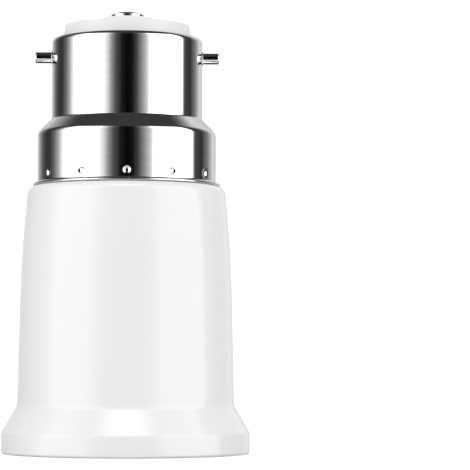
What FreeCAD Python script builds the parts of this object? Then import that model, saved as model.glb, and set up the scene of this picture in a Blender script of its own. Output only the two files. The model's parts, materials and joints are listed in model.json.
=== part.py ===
import FreeCAD, Part
import math
import os

from FreeCAD import Vector

# Adapter that lets a lamp with an E27 screw cap hang in a B22 bayonet holder.
# Millimetres. The axis is Z, the origin is the centre of the rim's flat mouth, the bayonet pins lie along X.

# E27 screw shell, rolled from aluminium sheet
SHELL_SHEET = 0.35
SHELL_BAND_STAND = 0.4
SHELL_BEAD_STAND = 0.42
SHELL_BEAD_WIRE = 0.47
SHELL_DEPTH = 8.0
SHELL_BAND_LENGTH = 4.6
THREAD_MEAN_RADIUS = 12.8
THREAD_HALF_DEPTH = 0.55
THREAD_PITCH = 3.629
THREAD_TURNS = 2.5
THREAD_RUNOUT_TURNS = 0.5
THREAD_STEPS_PER_TURN = 10
SHELL_CUP_HEIGHT = 2.45
SHELL_CUP_NARROWING = 1.3
SHELL_CUP_ROUND = 1.3
SHELL_LEDGE = 1.1
TAB_OVERHANG = 3.3
TAB_CORNER_ROUND = 1.0
TAB_SEAT_RADIUS = 2.3
TAB_SEAT_DEPTH = 0.12

# housing, measured outwards from the screw shell and upwards from the mouth
SHELL_GAP = 0.38
BARREL_WALL = 1.46
BARREL_TAPER = 0.55
BARREL_CURVE_LENGTH = 15.0
RIM_OVERHANG = 2.29
RIM_HEIGHT = 3.05
RIM_WALL = 1.70
RIM_EDGE_ROUND = 0.45
RIM_RIDGE_ROUND = 0.5
FLARE_HEIGHT = 3.95
WAIST_ROUND = 2.0
MOUTH_DEPTH = 3.3
MOUTH_CONE_HEIGHT = 2.9
SEAT_TO_SHOULDER = 4.8
SHOULDER_HEIGHT = 1.6
SHOULDER_ROUND = 1.3
SHOULDER_LAND = 0.72
NECK_HEIGHT = 6.7
NECK_CHAMFER = 0.5
NECK_WALL = 1.5
NECK_STEP_HEIGHT = 1.7
NECK_ROOF = 1.6
TUBE_WALL = 1.0
TUBE_GAP = 0.8
BASE_SEAT_STEP = 1.15
BASE_SEAT_WIDTH = 1.7

# bayonet shell, drawn from brass sheet and plated
CAP_SHEET = 0.3
CAP_RADIUS = 11.0
CAP_STEP = 2.03
CAP_FIT = 0.03
CAP_SKIRT_HEIGHT = 7.76
CAP_CONE_HEIGHT = 2.03
CAP_BARREL_HEIGHT = 11.97
CAP_TOP_ROUND = 0.8
CAP_SKIRT_ROUND = 1.0
CAP_WAIST_ROUND = 0.35
CAP_LIP_WIDTH = 0.62
CAP_LIP_THICKNESS = 0.36
CAP_MOUTH_INSET = 1.8
DIMPLE_COUNT = 12
DIMPLE_HEIGHT = 1.5
DIMPLE_RADIUS = 0.6
DIMPLE_DEPTH = 0.35

# bayonet pins
PIN_RADIUS = 0.8
PIN_REACH = 2.45
PIN_DROP = 2.84
PIN_CHAMFER = 0.15
PIN_TENON_RADIUS = 0.6
PIN_COLLAR_RADIUS = 1.0
PIN_COLLAR_THICKNESS = 0.25
PIN_SEAT_RADIUS = 1.25
PIN_SEAT_DEPTH = 0.15
PIN_HEAD_RADIUS = 1.3
PIN_HEAD_THICKNESS = 0.45
PIN_HEAD_GAP = 0.1
PIN_FIT = 0.02

# insulating plug and its two contact studs
PLUG_FIT = 0.1
PLUG_FLANGE_HEIGHT = 1.1
PLUG_MOUTH_FIT = 0.05
PLUG_STAND = 1.75
PLUG_DRAFT = 0.3
PLUG_EDGE_ROUND = 0.45
PLUG_CROWN = 0.3
PLUG_CROWN_ROUND = 20.0
ISLAND_HEIGHT = 0.7
ISLAND_HALF_WIDTH = 3.7
ISLAND_HALF_LENGTH = 7.6
ISLAND_SHOULDER = 1.4
ISLAND_EDGE_ROUND = 0.5
STUD_SPACING = 9.8
STUD_RADIUS = 2.37
STUD_DOME = 0.5
STUD_RIM = 0.35
STUD_SHANK_RADIUS = 1.1
STUD_CLINCH_RADIUS = 1.8
STUD_CLINCH_THICKNESS = 0.4
STUD_TAIL = 1.2

# screws through the tab and through the leaf, and the columns they cut into
SCREW_INSET = 3.2
LEAF_SCREW_INSET = 2.6
SCREW_RADIUS = 1.1
SCREW_FIT = 0.06
SCREW_HEAD_RADIUS = 1.75
SCREW_HEAD_HEIGHT = 1.5
SCREW_HEAD_ROUND = 0.6
SCREW_GRIP = 3.4
SCREW_POINT = 0.5
RECESS_DEPTH = 0.9
RECESS_SLOT = 0.62
RECESS_SPAN = 1.15
COLUMN_RADIUS = 2.65
COLUMN_HEIGHT = 4.6

# insulating base at the bottom of the socket
BASE_FIT = 0.1
BASE_WELL = 6.0
BASE_FLOOR = 1.6
BASE_RING_INSET = 0.4
BASE_RING_WALL = 1.4
BASE_BOSS_RADIUS = 2.65
BASE_BOSS_DRAFT = 0.1

# centre contact
LEAF_THICKNESS = 0.4
LEAF_WIDTH = 4.6
LEAF_BEND = 0.7
LEAF_LEG_INSET = 2.7
LEAF_STAND = 5.6
LEAF_RISE = 0.5
LEAF_TIP_MARGIN = 0.25
LEAF_FOOT_MARGIN = 2.0
BUTTON_RADIUS = 2.1
BUTTON_DOME = 0.85
BUTTON_RIM = 0.15
BUTTON_SHANK_RADIUS = 0.8
BUTTON_CLINCH_RADIUS = 1.3
BUTTON_CLINCH_THICKNESS = 0.35

# ring terminals and leads
TERMINAL_THICKNESS = 0.4
TERMINAL_RADIUS = 2.4
TERMINAL_BARREL_GAP = 0.15
TERMINAL_BARREL_WALL = 0.35
TERMINAL_BARREL_LENGTH = 3.4
LEAD_RADIUS = 0.8
LEAD_RISE = 7.5
LEAD_SLACK = 2.4
LEAD_DROP = 7.0

X = Vector(1, 0, 0)
Y = Vector(0, 1, 0)
Z = Vector(0, 0, 1)
ORIGIN = Vector(0, 0, 0)
BIG = 100.0

# radii that follow from the sizes above
shell_band_radius = THREAD_MEAN_RADIUS + SHELL_BAND_STAND
shell_bead_radius = shell_band_radius + SHELL_SHEET + SHELL_BEAD_STAND
cavity_radius = shell_bead_radius + SHELL_GAP
waist_radius = cavity_radius + BARREL_WALL
rim_radius = waist_radius + RIM_OVERHANG
mouth_radius = rim_radius - RIM_WALL
cap_inner_radius = CAP_RADIUS - CAP_SHEET
skirt_radius = CAP_RADIUS + CAP_STEP
neck_radius = skirt_radius - CAP_SHEET - CAP_FIT
neck_bore_radius = neck_radius - NECK_WALL
tube_radius = cap_inner_radius - TUBE_GAP
tube_bore_radius = tube_radius - TUBE_WALL
lip_radius = skirt_radius + CAP_LIP_WIDTH
base_seat_radius = cavity_radius - BASE_SEAT_STEP
chamber_radius = base_seat_radius - BASE_SEAT_WIDTH
cap_mouth_radius = CAP_RADIUS - CAP_MOUTH_INSET
pin_seat_reach = CAP_RADIUS - PIN_SEAT_DEPTH
shell_cup_radius = THREAD_MEAN_RADIUS - SHELL_CUP_NARROWING
shell_opening_radius = shell_cup_radius - SHELL_LEDGE
base_ring_radius = shell_opening_radius + BASE_RING_INSET
screw_offset = shell_cup_radius - SCREW_INSET
leaf_screw_offset = base_ring_radius - LEAF_SCREW_INSET
leaf_leg_offset = leaf_screw_offset - LEAF_LEG_INSET
leaf_foot_reach = leaf_screw_offset + LEAF_FOOT_MARGIN
leaf_tip_reach = BUTTON_RADIUS + LEAF_TIP_MARGIN

# heights that follow, from the mouth upwards
thread_start = SHELL_DEPTH + SHELL_BEAD_WIRE + SHELL_BAND_LENGTH
thread_end = thread_start + THREAD_TURNS * THREAD_PITCH
tab_face = thread_end + SHELL_CUP_HEIGHT
tab_back = tab_face + SHELL_SHEET
base_floor_face = tab_back + BASE_WELL
base_seat = base_floor_face + BASE_FLOOR
column_foot = base_seat + TERMINAL_THICKNESS
column_top = column_foot + COLUMN_HEIGHT
waist_height = RIM_HEIGHT + FLARE_HEIGHT
shoulder_start = base_seat + SEAT_TO_SHOULDER
shoulder_height = shoulder_start + SHOULDER_HEIGHT
chamber_top = shoulder_height - NECK_WALL
neck_top = shoulder_height + NECK_HEIGHT
cap_cone_start = shoulder_height + CAP_SKIRT_HEIGHT
cap_cone_end = cap_cone_start + CAP_CONE_HEIGHT
cap_top = cap_cone_end + CAP_BARREL_HEIGHT
plug_top_face = cap_top - CAP_SHEET
plug_foot = plug_top_face - PLUG_FLANGE_HEIGHT
pin_height = cap_top - PIN_DROP
plug_rim_height = cap_top + PLUG_STAND
island_top = plug_rim_height + ISLAND_HEIGHT
stud_foot = plug_foot - STUD_TAIL
stud_offset = STUD_SPACING / 2


def rounded_wire(points, closed=True):
    """Straight runs through points, each given as (place, radius), joined by tangent arcs of those radii."""
    count = len(points)
    edges = []
    arcs = []
    for index, (place, radius) in enumerate(points):
        at_end = not closed and index in (0, count - 1)
        if at_end or radius <= 0:
            arcs.append((place, None, place))
            continue
        to_last = (points[index - 1][0] - place).normalize()
        to_next = (points[(index + 1) % count][0] - place).normalize()
        half = to_last.getAngle(to_next) / 2
        reach = radius / math.tan(half)
        middle = (to_last + to_next).normalize() * (radius / math.sin(half) - radius)
        arcs.append((place + to_last * reach, place + middle, place + to_next * reach))
    for index, (start, middle, end) in enumerate(arcs):
        if middle is not None:
            edges.append(Part.Arc(start, middle, end).toShape())
        if closed or index < count - 1:
            edges.append(Part.makeLine(end, arcs[(index + 1) % count][0]))
    return Part.Wire(edges)


def turned(outline):
    """Solid of revolution about Z from corners (radius, height) or (radius, height, rounding)."""
    corners = [(Vector(corner[0], 0, corner[1]), corner[2] if len(corner) > 2 else 0) for corner in outline]
    return Part.Face(rounded_wire(corners)).revolve(ORIGIN, Z, 360)


def rod(radius, start, end):
    """Cylinder between two points."""
    return Part.makeCylinder(radius, (end - start).Length, start, end - start)


def dome(radius, height, rim):
    """Round head on the plane z = 0: a low upright rim with a spherical cap, apex up."""
    profile = Part.Wire([
        Part.makeLine(ORIGIN, Vector(radius, 0, 0)),
        Part.makeLine(Vector(radius, 0, 0), Vector(radius, 0, rim)),
        cap_arc(radius, height, rim),
        Part.makeLine(Vector(0, 0, rim + height), ORIGIN),
    ])
    return Part.Face(profile).revolve(ORIGIN, Z, 360)


def cap_arc(radius, height, rim):
    """Arc of the spherical cap from its rim to its apex."""
    sphere = (radius ** 2 + height ** 2) / (2 * height)
    half = math.asin(radius / sphere) / 2
    middle = Vector(sphere * math.sin(half), 0, rim + height - sphere * (1 - math.cos(half)))
    return Part.Arc(Vector(radius, 0, rim), middle, Vector(0, 0, rim + height)).toShape()


def racetrack(half_width, half_length, height):
    """Closed outline in a level plane: straight along Y with round ends."""
    shift = half_length - half_width
    left = Vector(-half_width, 0, height)
    right = Vector(half_width, 0, height)
    return Part.Wire([
        Part.makeLine(right - Y * shift, right + Y * shift),
        Part.Arc(right + Y * shift, Vector(0, half_length, height), left + Y * shift).toShape(),
        Part.makeLine(left + Y * shift, left - Y * shift),
        Part.Arc(left - Y * shift, Vector(0, -half_length, height), right - Y * shift).toShape(),
    ])


def around(shape, count):
    """Copies of a shape at equal angles about Z."""
    copies = []
    for index in range(count):
        copy = shape.copy()
        copy.rotate(ORIGIN, Z, 360.0 * index / count)
        copies.append(copy)
    return copies


def mirrored_across_x(shape):
    """The same piece on the other side, turned half a turn about Z."""
    copy = shape.copy()
    copy.rotate(ORIGIN, Z, 180)
    return copy


def screw_places():
    """Axis of the shell screw on +X and of the leaf screw on +Y, as points in the plane z = 0."""
    return [X * screw_offset, Y * leaf_screw_offset]


# housing

def dimple_ball(radius):
    """Ball of the punch that stakes the bayonet shell, at the first dimple (towards -Y)."""
    reach = skirt_radius - DIMPLE_DEPTH + DIMPLE_RADIUS
    return Part.makeSphere(radius, Vector(0, -reach, shoulder_height + DIMPLE_HEIGHT))


def screw_column(place):
    """Column under the neck that a screw cuts its thread into, joined to the wall behind it."""
    foot = Vector(place.x, place.y, column_foot)
    outward = Vector(place.x, place.y, 0).normalize()
    column = rod(COLUMN_RADIUS, foot, foot + Z * COLUMN_HEIGHT)
    reach = chamber_radius + BASE_SEAT_WIDTH / 2 - place.Length
    across = outward.cross(Z) * COLUMN_RADIUS
    far = outward * reach
    corners = [foot + across, foot + across + far, foot - across + far, foot - across]
    web = Part.Face(Part.makePolygon(corners + corners[:1])).extrude(Z * COLUMN_HEIGHT)
    return column.fuse(web)


def make_housing():
    shoulder_radius = lip_radius + SHOULDER_LAND
    bend_radius = waist_radius - BARREL_TAPER
    bend_height = shoulder_start - BARREL_CURVE_LENGTH / 2
    lower_lean = math.atan2(BARREL_TAPER, bend_height - waist_height)
    upper_lean = math.atan2(bend_radius - shoulder_radius, shoulder_height - bend_height)
    curve_radius = BARREL_CURVE_LENGTH / abs(upper_lean - lower_lean)
    body = turned([
        (mouth_radius, RIM_EDGE_ROUND / 2),
        (mouth_radius + RIM_EDGE_ROUND / 2, 0),
        (rim_radius, 0, RIM_EDGE_ROUND),
        (rim_radius, RIM_HEIGHT, RIM_RIDGE_ROUND),
        (waist_radius, waist_height, WAIST_ROUND),
        (bend_radius, bend_height, curve_radius),
        (shoulder_radius, shoulder_height, SHOULDER_ROUND),
        (neck_radius, shoulder_height),
        (neck_radius, neck_top - NECK_CHAMFER),
        (neck_radius - NECK_CHAMFER, neck_top),
        (tube_radius, neck_top),
        (tube_radius, plug_foot),
        (tube_bore_radius, plug_foot),
        (tube_bore_radius, neck_top - NECK_ROOF),
        (neck_bore_radius, neck_top - NECK_ROOF - NECK_STEP_HEIGHT),
        (neck_bore_radius, chamber_top),
        (chamber_radius, chamber_top),
        (chamber_radius, base_seat),
        (base_seat_radius, base_seat),
        (base_seat_radius, tab_back),
        (cavity_radius, tab_back),
        (cavity_radius, MOUTH_DEPTH + MOUTH_CONE_HEIGHT),
        (mouth_radius, MOUTH_DEPTH),
    ])
    body = body.fuse([screw_column(place) for place in screw_places()])
    holes = [rod(SCREW_RADIUS, place + Z * base_seat, place + Z * (column_top + SCREW_POINT))
             for place in screw_places()]
    pockets = around(dimple_ball(DIMPLE_RADIUS + CAP_SHEET + CAP_FIT), DIMPLE_COUNT)
    return body.cut(holes + pockets)


# bayonet shell and its pins

def make_cap_shell():
    cone_angle = math.atan2(CAP_STEP, CAP_CONE_HEIGHT)
    drop = CAP_SHEET * math.tan(cone_angle / 2)
    skirt_inner = skirt_radius - CAP_SHEET
    lip_top = shoulder_height + CAP_LIP_THICKNESS
    shell = turned([
        (skirt_inner, shoulder_height),
        (lip_radius, shoulder_height),
        (lip_radius, lip_top - CAP_LIP_THICKNESS / 3),
        (lip_radius - CAP_LIP_THICKNESS / 3, lip_top),
        (skirt_radius, lip_top),
        (skirt_radius, cap_cone_start, CAP_SKIRT_ROUND),
        (CAP_RADIUS, cap_cone_end, CAP_WAIST_ROUND),
        (CAP_RADIUS, cap_top, CAP_TOP_ROUND),
        (cap_mouth_radius, cap_top),
        (cap_mouth_radius, cap_top - CAP_SHEET),
        (cap_inner_radius, cap_top - CAP_SHEET, CAP_TOP_ROUND - CAP_SHEET),
        (cap_inner_radius, cap_cone_end - drop, CAP_WAIST_ROUND + CAP_SHEET),
        (skirt_inner, cap_cone_start - drop, CAP_SKIRT_ROUND - CAP_SHEET),
    ])
    bumps = around(dimple_ball(DIMPLE_RADIUS + CAP_SHEET), DIMPLE_COUNT)
    hollows = around(dimple_ball(DIMPLE_RADIUS), DIMPLE_COUNT)
    outside = turned([
        (skirt_radius - CAP_SHEET / 2, shoulder_height),
        (skirt_radius + BIG, shoulder_height),
        (skirt_radius + BIG, cap_cone_start),
        (skirt_radius - CAP_SHEET / 2, cap_cone_start),
    ])
    inward_bumps = [bump.cut(outside) for bump in bumps]
    pin_line = rod(PIN_TENON_RADIUS + PIN_FIT, Vector(-BIG, 0, pin_height), Vector(BIG, 0, pin_height))
    centre = Z * pin_height
    seats = [rod(PIN_SEAT_RADIUS, centre + X * (side * pin_seat_reach), centre + X * (side * BIG))
             for side in (-1, 1)]
    return shell.fuse(inward_bumps).cut(hollows + seats + [pin_line])


def make_bayonet_pin():
    """Pin on +X: head inside the shell, tenon through its wall, collar on the spot face, chamfered tip."""
    head_face = math.sqrt(cap_inner_radius ** 2 - PIN_HEAD_RADIUS ** 2) - PIN_HEAD_GAP / 2
    tip = CAP_RADIUS + PIN_REACH
    pin = turned([
        (0, head_face - PIN_HEAD_THICKNESS),
        (PIN_HEAD_RADIUS - PIN_CHAMFER, head_face - PIN_HEAD_THICKNESS),
        (PIN_HEAD_RADIUS, head_face - PIN_HEAD_THICKNESS + PIN_CHAMFER),
        (PIN_HEAD_RADIUS, head_face),
        (PIN_TENON_RADIUS, head_face),
        (PIN_TENON_RADIUS, pin_seat_reach),
        (PIN_COLLAR_RADIUS, pin_seat_reach),
        (PIN_COLLAR_RADIUS, pin_seat_reach + PIN_COLLAR_THICKNESS),
        (PIN_RADIUS, pin_seat_reach + PIN_COLLAR_THICKNESS),
        (PIN_RADIUS, tip - PIN_CHAMFER),
        (PIN_RADIUS - PIN_CHAMFER, tip),
        (0, tip),
    ])
    pin.rotate(ORIGIN, Y, 90)
    pin.translate(Z * pin_height)
    return pin


# insulating plug and contact studs

def make_cap_insulator():
    neck = cap_mouth_radius - PLUG_MOUTH_FIT
    flange = cap_inner_radius - PLUG_FIT
    chamfer = CAP_TOP_ROUND - CAP_SHEET
    crown_start = plug_rim_height
    plug = turned([
        (0, plug_foot),
        (flange, plug_foot),
        (flange, plug_top_face - chamfer),
        (flange - chamfer, plug_top_face),
        (neck, plug_top_face),
        (neck, cap_top),
        (neck - PLUG_DRAFT, crown_start, PLUG_EDGE_ROUND),
        (ISLAND_HALF_WIDTH + ISLAND_SHOULDER, crown_start + PLUG_CROWN, PLUG_CROWN_ROUND),
        (0, crown_start + PLUG_CROWN),
    ])
    foot = crown_start + PLUG_CROWN / 2
    island = Part.makeLoft([
        racetrack(ISLAND_HALF_WIDTH + ISLAND_SHOULDER, ISLAND_HALF_LENGTH + ISLAND_SHOULDER / 3, foot),
        racetrack(ISLAND_HALF_WIDTH, ISLAND_HALF_LENGTH, island_top),
    ], True, True)
    crown = [edge for edge in island.Edges if edge.BoundBox.ZMin > island_top - ISLAND_EDGE_ROUND / 10]
    island = island.makeFillet(ISLAND_EDGE_ROUND, crown)
    plug = plug.fuse(island)
    holes = [rod(STUD_SHANK_RADIUS, Y * side + Z * (plug_foot - 1), Y * side + Z * (island_top + 1))
             for side in (-stud_offset, stud_offset)]
    return plug.cut(holes).removeSplitter()


def make_cap_contact():
    """Stud towards -Y: domed head on the island, shank through the plug, clinched collar and solder tail."""
    stud = dome(STUD_RADIUS, STUD_DOME, STUD_RIM)
    stud.translate(Z * island_top)
    stud = stud.fuse([
        rod(STUD_SHANK_RADIUS, Z * stud_foot, Z * (island_top + STUD_RIM / 2)),
        rod(STUD_CLINCH_RADIUS, Z * (plug_foot - STUD_CLINCH_THICKNESS), Z * plug_foot),
    ])
    stud.translate(Y * -stud_offset)
    return stud


# screw shell

def thread_circles(radius):
    """Level circles whose centres wind up a helix: together they make one rolled thread."""
    steps = round(THREAD_TURNS * THREAD_STEPS_PER_TURN)
    circles = []
    for step in range(steps + 1):
        turn = THREAD_TURNS * step / steps
        entry = smooth(turn / THREAD_RUNOUT_TURNS)
        runout = smooth((THREAD_TURNS - turn) / THREAD_RUNOUT_TURNS)
        swing = THREAD_HALF_DEPTH * entry * runout
        angle = 2 * math.pi * turn
        centre = Vector(swing * math.cos(angle), swing * math.sin(angle), thread_start + turn * THREAD_PITCH)
        spare = SHELL_BAND_STAND * (1 - entry)
        circles.append(Part.Wire([Part.makeCircle(radius + spare, centre, Z)]))
    return circles


def smooth(share):
    """Soft step from 0 to 1."""
    held = min(max(share, 0.0), 1.0)
    return held * held * (3 - 2 * held)


def make_screw_shell():
    outer_thread = Part.makeLoft(thread_circles(THREAD_MEAN_RADIUS + SHELL_SHEET), True, True)
    inner_thread = Part.makeLoft(thread_circles(THREAD_MEAN_RADIUS), True, True)
    thread = outer_thread.cut(inner_thread)
    bead_height = SHELL_DEPTH + SHELL_BEAD_WIRE
    band = turned([
        (shell_band_radius, bead_height),
        (shell_band_radius + SHELL_SHEET, bead_height),
        (shell_band_radius + SHELL_SHEET, thread_start),
        (shell_band_radius, thread_start),
    ])
    bead_centre = shell_bead_radius - SHELL_BEAD_WIRE
    bead = Part.makeTorus(bead_centre, SHELL_BEAD_WIRE, Z * bead_height)
    bead = bead.cut(rod(shell_band_radius, ORIGIN, Z * thread_start))
    cup = turned([
        (THREAD_MEAN_RADIUS, thread_end),
        (THREAD_MEAN_RADIUS + SHELL_SHEET, thread_end),
        (shell_cup_radius + SHELL_SHEET, tab_back, SHELL_CUP_ROUND + SHELL_SHEET),
        (0, tab_back),
        (0, tab_face),
        (shell_cup_radius, tab_face, SHELL_CUP_ROUND),
    ])
    opening = rod(shell_opening_radius, Z * thread_end, Z * (tab_back + 1))
    tab_edge = screw_offset - TAB_OVERHANG
    beside_tab = Part.makeBox(BIG, BIG, BIG, Vector(tab_edge - BIG, -BIG / 2, thread_end - 1))
    opening = opening.common(beside_tab)
    corners = [edge for edge in opening.Edges
               if abs(edge.Vertexes[0].X - edge.Vertexes[-1].X) < 1e-6
               and edge.BoundBox.ZLength > SHELL_CUP_HEIGHT and edge.BoundBox.XLength < 1e-3]
    opening = opening.makeFillet(TAB_CORNER_ROUND, corners)
    place = X * screw_offset
    seat = rod(TAB_SEAT_RADIUS, place + Z * thread_end, place + Z * (tab_face + TAB_SEAT_DEPTH))
    hole = rod(SCREW_RADIUS + SCREW_FIT, place + Z * thread_end, place + Z * (tab_back + 1))
    cup = cup.cut([opening, seat, hole])
    return band.fuse([bead, thread, cup])


# screws

def cross_recess():
    """Cutter for a cross recess in a head whose top lies in the plane z = 0, tapering downwards."""
    corner = Vector(-RECESS_SPAN, -RECESS_SLOT / 2, -RECESS_DEPTH)
    arm = Part.makeBox(2 * RECESS_SPAN, RECESS_SLOT, RECESS_DEPTH, corner)
    other = arm.copy()
    other.rotate(ORIGIN, Z, 90)
    taper = Part.makeCone(RECESS_SPAN * 0.45, RECESS_SPAN, RECESS_DEPTH, Z * -RECESS_DEPTH)
    return arm.fuse(other).common(taper)


def make_screw(place, head_face, tip):
    """Pan head screw pointing up along Z, with its head below the plane z = head_face."""
    screw = turned([
        (0, -SCREW_HEAD_HEIGHT),
        (SCREW_HEAD_RADIUS * 0.8, -SCREW_HEAD_HEIGHT, SCREW_HEAD_ROUND),
        (SCREW_HEAD_RADIUS, -SCREW_HEAD_HEIGHT * 0.55, SCREW_HEAD_ROUND),
        (SCREW_HEAD_RADIUS, 0),
        (SCREW_RADIUS, 0),
        (SCREW_RADIUS, tip - head_face - SCREW_POINT),
        (SCREW_RADIUS - SCREW_POINT, tip - head_face),
        (0, tip - head_face),
    ])
    recess = cross_recess()
    recess.rotate(ORIGIN, X, 180)
    recess.translate(Z * -SCREW_HEAD_HEIGHT)
    screw = screw.cut(recess)
    screw.translate(place + Z * head_face)
    return screw


def make_shell_screw():
    return make_screw(X * screw_offset, tab_face + TAB_SEAT_DEPTH, column_foot + SCREW_GRIP)


def make_leaf_screw():
    return make_screw(Y * leaf_screw_offset, base_floor_face - LEAF_THICKNESS, column_foot + SCREW_GRIP)


# insulating base

def make_contact_base():
    ring_outer = shell_cup_radius - BASE_RING_INSET
    base_radius = base_seat_radius - BASE_FIT
    base = turned([
        (0, base_floor_face),
        (base_ring_radius, base_floor_face),
        (base_ring_radius, tab_back),
        (ring_outer, tab_back),
        (ring_outer + BASE_RING_WALL, tab_back + BASE_RING_WALL),
        (base_radius, base_floor_face),
        (base_radius, base_seat),
        (0, base_seat),
    ])
    boss_tip = X * screw_offset + Z * tab_back
    boss_height = BASE_WELL + BASE_FLOOR / 2
    boss = Part.makeCone(BASE_BOSS_RADIUS - BASE_BOSS_DRAFT, BASE_BOSS_RADIUS, boss_height, boss_tip)
    base = base.fuse(boss)
    holes = [rod(SCREW_RADIUS + SCREW_FIT, place + Z * (tab_back - 1), place + Z * (base_seat + 1))
             for place in screw_places()]
    return base.cut(holes)


# centre contact

def make_contact_leaf():
    """Sprung strip: foot on the base, leg towards the mouth, arm across the axis with a round end."""
    foot_height = base_floor_face - LEAF_THICKNESS / 2
    arm_height = foot_height - LEAF_STAND
    path = rounded_wire([
        (Vector(0, leaf_foot_reach, foot_height), 0),
        (Vector(0, leaf_leg_offset, foot_height), LEAF_BEND),
        (Vector(0, leaf_leg_offset, arm_height), LEAF_BEND),
        (Vector(0, -leaf_tip_reach, arm_height - LEAF_RISE), 0),
    ], closed=False)
    half = LEAF_THICKNESS / 2
    start = Vector(0, leaf_foot_reach, foot_height)
    corners = [start + X * (side * LEAF_WIDTH / 2) + Z * (lift * half)
               for side, lift in ((-1, -1), (1, -1), (1, 1), (-1, 1))]
    section = Part.makePolygon(corners + corners[:1])
    strip = path.makePipeShell([section], True, False)
    length = (leaf_tip_reach + leaf_foot_reach) / 2
    middle = (leaf_foot_reach - leaf_tip_reach) / 2
    plan = Part.Face(racetrack(LEAF_WIDTH / 2, length, 0)).extrude(Z * BIG)
    plan.translate(Y * middle)
    place = Y * leaf_screw_offset
    seat = leaf_face_at_axis()
    holes = [
        rod(SCREW_RADIUS + SCREW_FIT, place + Z * arm_height, place + Z * BIG),
        rod(BUTTON_SHANK_RADIUS, seat - leaf_normal() * LEAF_WIDTH, seat + leaf_normal() * LEAF_WIDTH),
    ]
    return strip.common(plan).cut(holes)


def leaf_normal():
    """Direction of the arm's face that looks at the mouth."""
    run = leaf_leg_offset + leaf_tip_reach
    return Vector(0, LEAF_RISE, -run).normalize()


def leaf_face_at_axis():
    """Point on the arm's mouth side where the button sits."""
    run = leaf_leg_offset + leaf_tip_reach
    arm_height = base_floor_face - LEAF_THICKNESS / 2 - LEAF_STAND
    on_middle = Vector(0, 0, arm_height - LEAF_RISE * leaf_leg_offset / run)
    return on_middle + leaf_normal() * (LEAF_THICKNESS / 2)


def make_contact_button():
    """Domed rivet through the arm, clinched behind it."""
    button = dome(BUTTON_RADIUS, BUTTON_DOME, BUTTON_RIM)
    button = button.fuse([
        rod(BUTTON_SHANK_RADIUS, ORIGIN, Z * -(LEAF_THICKNESS + BUTTON_CLINCH_THICKNESS)),
        rod(BUTTON_CLINCH_RADIUS, Z * -LEAF_THICKNESS, Z * -(LEAF_THICKNESS + BUTTON_CLINCH_THICKNESS)),
    ])
    button.Placement = FreeCAD.Placement(leaf_face_at_axis(), FreeCAD.Rotation(Z, leaf_normal()))
    return button


# ring terminals and leads

def barrel_place(place):
    """Axis of a terminal's barrel, beside the column and nearer the middle than its screw."""
    barrel_radius = LEAD_RADIUS + TERMINAL_BARREL_WALL
    reach = place.Length - COLUMN_RADIUS - TERMINAL_BARREL_GAP - barrel_radius
    return Vector(place).normalize() * reach


def make_terminal(place):
    """Ring under the column with a crimped barrel that stands up beside it."""
    barrel_radius = LEAD_RADIUS + TERMINAL_BARREL_WALL
    centre = barrel_place(place)
    inward = Vector(place).normalize()
    across = inward.cross(Z) * barrel_radius
    corners = [centre + across, place + across, place - across, centre - across]
    bridge = Part.Face(Part.makePolygon(corners + corners[:1])).extrude(Z * TERMINAL_THICKNESS)
    plate = rod(TERMINAL_RADIUS, place, place + Z * TERMINAL_THICKNESS)
    barrel = rod(barrel_radius, centre, centre + Z * (TERMINAL_THICKNESS + TERMINAL_BARREL_LENGTH))
    terminal = plate.fuse([bridge, barrel])
    terminal.translate(Z * base_seat)
    hole = rod(SCREW_RADIUS + SCREW_FIT, place + Z * (base_seat - 1), place + Z * (column_foot + 1))
    bore = rod(LEAD_RADIUS, centre + Z * column_foot, centre + Z * BIG)
    return terminal.cut([hole, bore])


def make_lead(place, stud, slack):
    """Insulated lead from a terminal's barrel to a stud's tail, one smooth bow."""
    foot = barrel_place(place) + Z * column_foot
    head = stud + Z * stud_foot
    knee = foot + Z * LEAD_RISE
    hip = head - Z * LEAD_DROP
    stops = [foot, knee, hip, head]
    if slack.Length > 0:
        stops.insert(2, (knee + hip) / 2 + slack)
    points = []
    for index, stop in enumerate(stops):
        if index in (0, len(stops) - 1):
            points.append((stop, 0))
            continue
        last = stops[index - 1] - stop
        after = stops[index + 1] - stop
        half = last.getAngle(after) / 2
        points.append((stop, 0.45 * min(last.Length, after.Length) * math.tan(half)))
    path = rounded_wire(points, closed=False)
    section = Part.Wire([Part.makeCircle(LEAD_RADIUS, foot, Z)])
    return path.makePipeShell([section], True, False)


pin_right = make_bayonet_pin()
contact_front = make_cap_contact()

PIECES = {
    "housing": make_housing(),
    "cap_shell": make_cap_shell(),
    "bayonet_pin_right": pin_right,
    "bayonet_pin_left": mirrored_across_x(pin_right),
    "cap_insulator": make_cap_insulator(),
    "cap_contact_front": contact_front,
    "cap_contact_rear": mirrored_across_x(contact_front),
    "screw_shell": make_screw_shell(),
    "shell_screw": make_shell_screw(),
    "contact_base": make_contact_base(),
    "contact_leaf": make_contact_leaf(),
    "contact_button": make_contact_button(),
    "leaf_screw": make_leaf_screw(),
    "shell_terminal": make_terminal(X * screw_offset),
    "leaf_terminal": make_terminal(Y * leaf_screw_offset),
    "shell_lead": make_lead(X * screw_offset, Y * -stud_offset, ORIGIN),
    "leaf_lead": make_lead(Y * leaf_screw_offset, Y * stud_offset, X * -LEAD_SLACK),
}

os.makedirs("parts", exist_ok=True)
for name, shape in PIECES.items():
    shape.exportStep("parts/" + name + ".step")
    state = "valid" if shape.isValid() else "NOT VALID"
    print(name, state, len(shape.Solids), "solid", round(shape.Volume, 2), "mm3")
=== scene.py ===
import cmath
import json
import math

import bpy
import numpy as np
from mathutils import Matrix, Vector


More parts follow.
